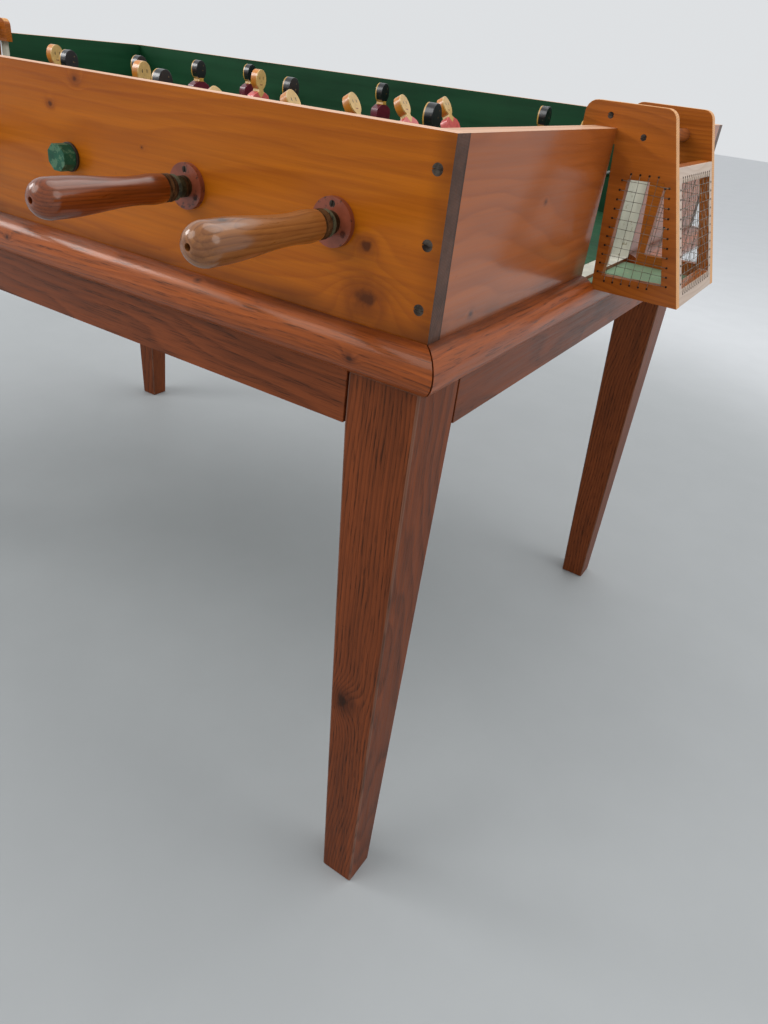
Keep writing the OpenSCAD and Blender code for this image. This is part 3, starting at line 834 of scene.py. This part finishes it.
def paint_head(g, hair, skin, hair_line):
    front = g.above(g.ahead, FACE_AHEAD)
    back = g.band(g.ahead, -FACE_AHEAD * MM, -(FACE_AHEAD + 0.7) * MM)
    behind_face = g.math("SUBTRACT", 1.0, g.above(g.ahead, HAIR_AHEAD))
    neckline = g.math("SUBTRACT", g.high, g.math("MULTIPLY", g.out, 1.1))
    g.lay(skin, front, g.above(neckline, 27), g.above(g.high, 28))
    g.lay(skin, g.above(g.high, NECK_LOW))
    g.lay(hair, behind_face, g.above(g.high, hair_line))
    g.lay(hair, back, g.above(g.high, NAPE))
    g.lay(BLACK_PAINT, front, g.between(g.out, EYE_IN, EYE_OUT), g.between(g.high, EYE_LOW, EYE_HIGH))
    nose = g.between(g.out, MIDDLE, NOSE_OUT)
    g.lay(darker(skin, 0.55), front, nose, g.between(g.high, NOSE_LOW, NOSE_HIGH))
    mouth = g.between(g.out, MIDDLE, MOUTH_OUT)
    g.lay(LIP_PAINT, front, mouth, g.between(g.high, MOUTH_LOW, MOUTH_HIGH))


def team_paint(name, shirt, shorts, hair, skin, hair_line):
    """A team's kit, uneven in tone and chipped down to the wood; the socks match the shirt."""
    g = Kit(name)
    paint_clothes(g, shirt, shorts, shirt, skin)
    paint_head(g, hair, skin, hair_line)
    tone = g.band(g.noise(g.point, scale=70, detail=5, roughness=0.65), 0.3, 0.7, 0.8, 1.12)
    chips = g.band(g.noise(g.point, scale=210, detail=6, roughness=0.7), 0.66, 0.68, 0.0, 0.8)
    g.set("Base Color", g.mix(chips, g.shaded(g.shown, tone), BARE_WOOD))
    g.bump(g.noise(g.stretched((200, 200, 60)), detail=4), 0.3 * MM, 0.5)
    return g.material


def man_mesh():
    """One figure with its rod axis at the origin, taken from the upright backs and rounded."""
    bm = solids("players_far_backs")[0]
    place = middle(bm)
    bm.transform(Matrix.Translation((-place.x, -place.y, -ROD_Z)))
    soften(bm, 1.6 * MM, segments=3)
    mesh = finished_mesh("figure", bm)
    for polygon in mesh.polygons:
        polygon.material_index = 0
    return mesh


def line_lean(line):
    """Lean of a line's figures about +Y, as the middle of their crowns says."""
    offsets = [v.co - Vector((line_x(line), v.co.y, ROD_Z))
               for v in frame["nodes"]["players_" + line].data.vertices]
    crowns = [o for o in offsets if o.z > 0 and o.length > CROWN_REACH * MM]
    return math.atan2(sum(o.x for o in crowns), sum(o.z for o in crowns))


def make_team(figure, side, kit, facing):
    """The figures on the lines of one side; facing turns them about the vertical."""
    for line in LINES:
        if not line.startswith(side):
            continue
        mesh = figure.copy()
        mesh.materials.append(kit)
        turn = Matrix.Rotation(line_lean(line), 4, "Y") @ Matrix.Rotation(facing, 4, "Z")
        for k, bm in enumerate(solids("players_" + line)):
            place = Matrix.Translation((line_x(line), middle(bm).y, ROD_Z))
            bm.free()
            show(f"figure_{line}_{k}", mesh, line + "_line", "players_" + line, place @ turn)


def make_players():
    near_kit = team_paint("near_team", MAROON, srgb(222, 214, 196), hair=srgb(14, 13, 16),
                          skin=srgb(196, 148, 66), hair_line=45)
    far_kit = team_paint("far_team", PINK, srgb(40, 44, 66), hair=srgb(196, 120, 36),
                         skin=srgb(206, 166, 100), hair_line=42)
    figure = man_mesh()
    make_team(figure, "near", near_kit, math.pi)
    make_team(figure, "far", far_kit, 0)


# ------------------------------------------------------------------ the goals

CAGE_LOW, CAGE_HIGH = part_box("goal_frame_right")
CAGE_HALF_W = CAGE_HIGH.y
CAGE_DEPTH_LOW = 111 * MM
CAGE_DEPTH_HIGH = 54 * MM
CAGE_H = 188 * MM
CAGE_SLOPE = (CAGE_DEPTH_LOW - CAGE_DEPTH_HIGH) / CAGE_H
CAGE_RIM = 5 * MM
WINDOW_LOW = 713 * MM
WINDOW_HIGH = 817 * MM
WINDOW_HALF_W = 67 * MM
# Corners of a side board's window: out from the end of the table, and up from the floor
SIDE_WINDOW = [(22 * MM, 713 * MM), (88 * MM, 716 * MM), (62 * MM, 816 * MM), (24 * MM, 814 * MM)]
NET_CELL = 9.6 * MM
WIRE_R = 0.3 * MM
WIRE_WEAVE = 1.3 * WIRE_R
WIRE_ON_BOARD = 0.5 * MM
WIRE_END_SUNK = 0.3 * MM
NAIL_PAST_WINDOW = 5.5 * MM
NAIL_R = 1.2 * MM
NAIL_H = 0.5 * MM


def cage_side_face(centre, normal, slot):
    """Wood on the flat of a side board and in its window, and round its rim a pale edge, a painted
    highlight on the rounded edge.
    """
    if abs(normal.y) > 0.6 and slot == 0:
        return 0
    face_x = CAGE_HIGH.x - (centre.z - CAGE_LOW.z) * CAGE_SLOPE
    return 1 if abs(centre.x) > face_x - CAGE_RIM or centre.z > CAGE_HIGH.z - CAGE_RIM else 0


def cage_front_face(centre, normal, slot):
    """Pale wood on the outer face of the front and its rounded edges, and brown elsewhere."""
    outward = abs(normal.x) > 0.7 and normal.x * centre.x > 0
    return 0 if outward or slot == 1 else 1


def make_cages():
    side_wood = wood("cage_wood", srgb(170, 92, 26), srgb(118, 56, 12), grain="X", ring=0.004, wobble=0.05,
                     pith=(0.1, 0.82), contrast=0.4, seed=6.6, coat=0.3)
    # The pale rim of the side boards is a painted highlight on their rounded edges.
    side_edge_highlight = wood("cage_edge_highlight", srgb(220, 164, 104), srgb(176, 112, 62), grain="X", ring=0.002, seed=1.1,
                     roughness=0.5, coat=0.15)
    front = wood("cage_front", srgb(192, 172, 156), srgb(160, 134, 116), grain="Y", ring=0.004, seed=3.3,
                 contrast=0.35, roughness=0.5, coat=0.2, fibre=0.06)
    side_board = (1.4 * MM, [side_wood, side_edge_highlight], cage_side_face)
    floor_board = (0.5 * MM, [sage], None)
    front_board = (0.8 * MM, [front, side_wood], cage_front_face)
    for name in ("goal_frame_left", "goal_frame_right"):
        for k, bm in enumerate(solids(name)):
            if abs(middle(bm).y) > CAGE_HALF_W / 2:
                width, materials, rule = side_board
            elif max(v.co.z for v in bm.verts) < CAGE_LOW.z + 10 * MM:
                width, materials, rule = floor_board
            else:
                width, materials, rule = front_board
            piece(f"{name}_{k}", soften(bm, width), "table", materials, name, rule)


def make_goal_bars():
    dowel = wood("dowel", srgb(150, 84, 40), srgb(92, 44, 20), grain="Y", ring=0.002, seed=5, coat=0.3)
    for name in ("goal_bars_left", "goal_bars_right"):
        for k, bm in enumerate(solids(name)):
            piece(f"{name}_{k}", soften(bm, 0.8 * MM), "table", [dowel], name)


def crossings(outline, axis, value):
    """Where the line that has this value on one axis enters and leaves a convex outline."""
    found = []
    for a, b in zip(outline, outline[1:] + outline[:1]):
        if (a[axis] - value) * (b[axis] - value) < 0:
            t = (value - a[axis]) / (b[axis] - a[axis])
            found.append(a[1 - axis] + t * (b[1 - axis] - a[1 - axis]))
    return (min(found), max(found)) if len(found) == 2 else None


def tube(bm, points, radius, sides=6):
    """Adds a closed tube along points."""
    rings = []
    for k, point in enumerate(points):
        ahead = (points[min(k + 1, len(points) - 1)] - points[max(k - 1, 0)]).normalized()
        side = ahead.orthogonal().normalized() if k == 0 else (side - ahead * side.dot(ahead)).normalized()
        up = ahead.cross(side)
        rings.append([bm.verts.new(point + radius * (math.cos(a) * side + math.sin(a) * up))
                      for a in (2 * math.pi * s / sides for s in range(sides))])
    for low, high in zip(rings, rings[1:]):
        for s in range(sides):
            n = (s + 1) % sides
            bm.faces.new((low[s], low[n], high[n], high[s]))
    bm.faces.new(rings[0][::-1])
    bm.faces.new(rings[-1])


def dome(bm, place, normal, radius, height):
    """Adds a small round nail head."""
    profile = [(0, -height), (radius, -height), (radius, 0), (radius * 0.7, height * 0.7), (0, height)]
    head = lathe(profile, 10)
    head.transform(Matrix.Translation(place) @ normal.to_track_quat("Z", "Y").to_matrix().to_4x4())
    copy = {v: bm.verts.new(v.co) for v in head.verts}
    for face in head.faces:
        bm.faces.new([copy[v] for v in face.verts])
    head.free()


def spaced(low, high):
    """Places one net cell apart, centred between two ends."""
    count = round((high - low) / NET_CELL)
    first = (low + high - (count - 1) * NET_CELL) / 2
    return [first + k * NET_CELL for k in range(count)]


def wire_course(low, high, phase):
    """(along, out) points of a wire woven over a window from low to high, and nailed down past it."""
    start = low - NAIL_PAST_WINDOW
    stop = high + NAIL_PAST_WINDOW
    steps = max(8, int((stop - start) / NET_CELL * 4))
    course = []
    for step in range(steps + 1):
        along = start + (stop - start) * step / steps
        if step in (0, steps):
            out = -WIRE_END_SUNK
        elif along < low + 1 * MM or along > high - 1 * MM:
            out = WIRE_ON_BOARD
        else:
            out = math.cos(math.pi * (along / NET_CELL + phase)) * WIRE_WEAVE
        course.append((along, out))
    return course


def weave_net(wires, nails, outline, place):
    """Lays crossing wires over an outline in a plane; place(u, v, out) gives a point in space."""
    def put(axis, value, along, out):
        return place(value, along, out) if axis == 0 else place(along, value, out)

    for axis in (0, 1):
        values = spaced(min(p[axis] for p in outline), max(p[axis] for p in outline))
        for k, value in enumerate(values):
            ends = crossings(outline, axis, value)
            if ends is None or ends[1] - ends[0] < 2 * NET_CELL:
                continue
            course = wire_course(*ends, k + axis)
            tube(wires, [put(axis, value, along, out) for along, out in course], WIRE_R)
            for along in (course[0][0], course[-1][0]):
                foot = put(axis, value, along, 0.1 * MM)
                outward = (put(axis, value, along, 1 * MM) - foot).normalized()
                dome(nails, foot, outward, NAIL_R, NAIL_H)


def front_plane(u, v, out):
    """A point on the slanting front board: u across, v up, out from its face."""
    tilt = math.atan(CAGE_SLOPE)
    height = v * math.cos(tilt)
    x = CAGE_HIGH.x - (WINDOW_LOW - CAGE_LOW.z + height) * CAGE_SLOPE
    return Vector((x + out * math.cos(tilt), u, WINDOW_LOW + height + out * math.sin(tilt)))


def side_plane(side_y):
    """The plane of a side board's outer face: u out from the table's end, v up."""
    def place(u, v, out):
        return Vector((HALF_L + u, side_y * (CAGE_HALF_W + out), v))
    return place


def make_nets():
    wire = metal("net_wire", srgb(150, 142, 128), srgb(60, 54, 46), roughness=0.4, amount=0.8)
    nail = metal("net_nail", srgb(70, 60, 50), srgb(26, 22, 20), roughness=0.5, amount=0.8)
    slope_l = (WINDOW_HIGH - WINDOW_LOW) / math.cos(math.atan(CAGE_SLOPE))
    front_window = [(-WINDOW_HALF_W, 0), (WINDOW_HALF_W, 0), (WINDOW_HALF_W, slope_l),
                    (-WINDOW_HALF_W, slope_l)]
    for name, side in (("left", -1), ("right", 1)):
        wires, nails = bmesh.new(), bmesh.new()
        weave_net(wires, nails, front_window, front_plane)
        for side_y in (-1, 1):
            weave_net(wires, nails, SIDE_WINDOW, side_plane(side_y))
        for bm, label, look in ((wires, "net_wires_", wire), (nails, "net_nails_", nail)):
            bm.transform(Matrix.Diagonal((side, 1, 1, 1)))
            piece(label + name, bm, "table", [look], "goal_net_" + name)


# ---------------------------------------------------- camera, stage and light

CAMERA_PLACE = (0.9236, -0.9512, 0.9021)
CAMERA_DOWN = 0.5269
CAMERA_ROLL = -0.1197
CAMERA_YAW = -0.5273
FLOOR_HALF = 14
FLOOR_SHADED_TONE = srgb(166, 169, 170)
FLOOR_FAR_TONE = srgb(216, 218, 220)


def make_camera():
    """The viewing place and frame of the picture: 768 by 1024, long side up."""
    level = math.cos(CAMERA_DOWN)
    ahead = Vector((math.sin(CAMERA_YAW) * level, math.cos(CAMERA_YAW) * level, -math.sin(CAMERA_DOWN)))
    level_right = Vector((math.cos(CAMERA_YAW), -math.sin(CAMERA_YAW), 0))
    level_down = ahead.cross(level_right)
    right = math.cos(CAMERA_ROLL) * level_right + math.sin(CAMERA_ROLL) * level_down
    down = -math.sin(CAMERA_ROLL) * level_right + math.cos(CAMERA_ROLL) * level_down
    data = bpy.data.cameras.new("camera")
    data.lens = 26.415
    data.sensor_width = 36
    data.shift_x = 0.00985
    data.shift_y = -0.0196
    data.clip_start = 0.02
    camera = bpy.data.objects.new("camera", data)
    axes = Matrix((right, -down, -ahead)).transposed().to_4x4()
    camera.matrix_world = Matrix.Translation(CAMERA_PLACE) @ axes
    bpy.context.scene.collection.objects.link(camera)
    bpy.context.scene.camera = camera


def soft_light(name, place, target, size, power):
    data = bpy.data.lights.new(name, "AREA")
    data.shape = "DISK"
    data.size = size
    data.energy = power
    lamp = bpy.data.objects.new(name, data)
    lamp.location = place
    lamp.rotation_mode = "QUATERNION"
    lamp.rotation_quaternion = (Vector(target) - Vector(place)).to_track_quat("-Z", "Y")
    bpy.context.scene.collection.objects.link(lamp)


def make_floor():
    """A pale floor, a little darker round the table as painted shade."""
    bm = bmesh.new()
    bmesh.ops.create_grid(bm, x_segments=8, y_segments=8, size=FLOOR_HALF)
    mesh = bpy.data.meshes.new("floor")
    bm.to_mesh(mesh)
    bm.free()
    g = Graph("floor_pale", roughness=0.6, specular=0.3)
    # Painted shade: darker within 1.5 m of the middle of the table, fading out by 2.8 m.
    far_off = g.band(g.vector("LENGTH", g.point), 1.5, 2.8)
    scrubbed = g.band(g.noise(g.point, scale=7.0, detail=5, roughness=0.6), 0.3, 0.7, 0.985, 1.015)
    g.set("Base Color", g.shaded(g.mix(far_off, FLOOR_SHADED_TONE, FLOOR_FAR_TONE), scrubbed))
    mesh.materials.append(g.material)
    floor = bpy.data.objects.new("floor", mesh)
    bpy.context.scene.collection.objects.link(floor)


def make_light():
    world = bpy.data.worlds.new("studio")
    world.use_nodes = True
    world.node_tree.nodes["Background"].inputs["Color"].default_value = (0.86, 0.88, 0.9, 1)
    world.node_tree.nodes["Background"].inputs["Strength"].default_value = 0.85
    bpy.context.scene.world = world
    bpy.context.scene.view_settings.view_transform = "Standard"
    soft_light("key", (-1.4, -3.0, 3.4), (0, 0, 0.6), 2.6, 50)
    soft_light("window", (-2.3, -1.4, 2.4), (0, -0.4, 0.7), 1.1, 26)
    soft_light("top", (0.6, 1.0, 3.6), (0, 0, 0.6), 3.0, 40)
    soft_light("side", (3.4, 0.6, 2.4), (0.4, 0, 0.6), 2.2, 25)


make_legs()
make_aprons()
make_mouldings()
make_walls()
make_pitch()
make_bushes()
make_screws()
make_lines()
make_players()
make_cages()
make_goal_bars()
make_nets()
make_camera()
make_floor()
make_light()
